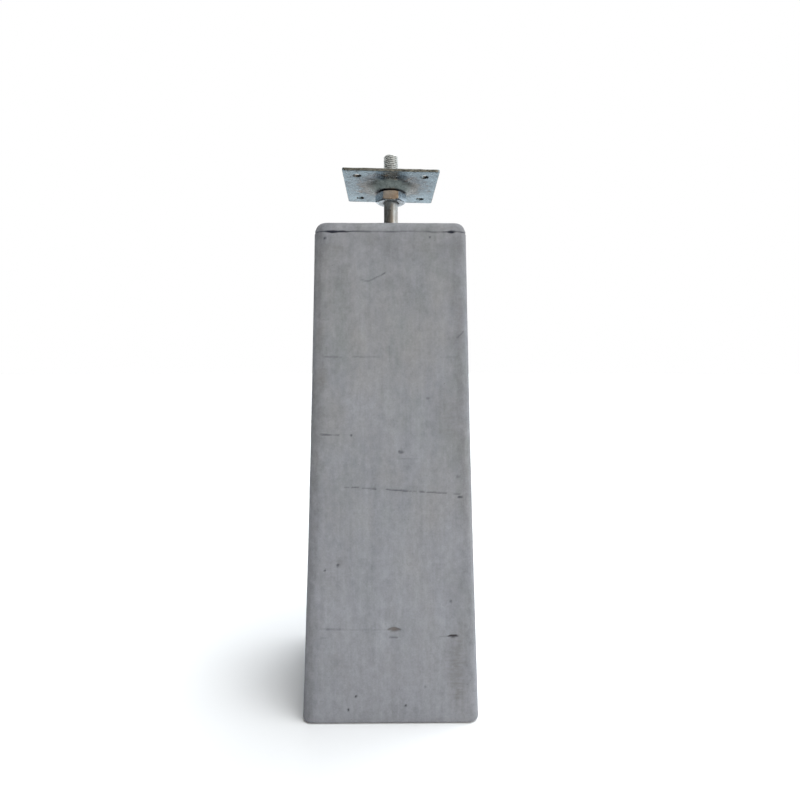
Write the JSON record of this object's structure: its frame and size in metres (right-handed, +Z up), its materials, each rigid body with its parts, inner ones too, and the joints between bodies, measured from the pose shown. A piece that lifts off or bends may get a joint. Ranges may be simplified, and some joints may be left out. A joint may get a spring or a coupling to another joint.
{
  "type": "concrete post foundation pier with adjustable bearing plate",
  "caption": "Tapered square concrete foundation block with rounded edges, a cast-in threaded rod on its axis and a pressed square steel plate that a hexagon nut sets to height.",
  "frame": {"origin": "centre of the block's underside, where it stands on the ground", "axes": "+Z up along the rod, +X to the right and +Y away from the viewer across two faces of the block; all four faces are alike"},
  "size_m": [0.1798, 0.1798, 0.59],
  "materials": {
    "concrete": "smooth cast concrete, matt",
    "rod_steel": "zinc plated, stained dull brown and grey",
    "nut_zinc": "zinc plated, satin",
    "plate_zinc": "mottled zinc plating, satin"
  },
  "bodies": {
    "pier": {"concrete_block": "concrete", "threaded_rod": "rod_steel"},
    "plate": {"bearing_plate": "plate_zinc"},
    "nut": {"adjusting_nut": "nut_zinc"}
  },
  "joints": [
    {"name": "plate_height", "type": "slide", "parent": "pier", "child": "plate", "axis": [0, 0, 1], "range_m": [0, 0.03]},
    {"name": "nut_turn", "type": "hinge", "parent": "plate", "child": "nut", "pos_m": [0, 0, 0.5443], "axis": [0, 0, 1], "range_deg": [0, 5400]}
  ],
  "couplings": [
    {"joint": "nut_turn", "follows": "plate_height", "rad_per_m": 3141.6}
  ]
}
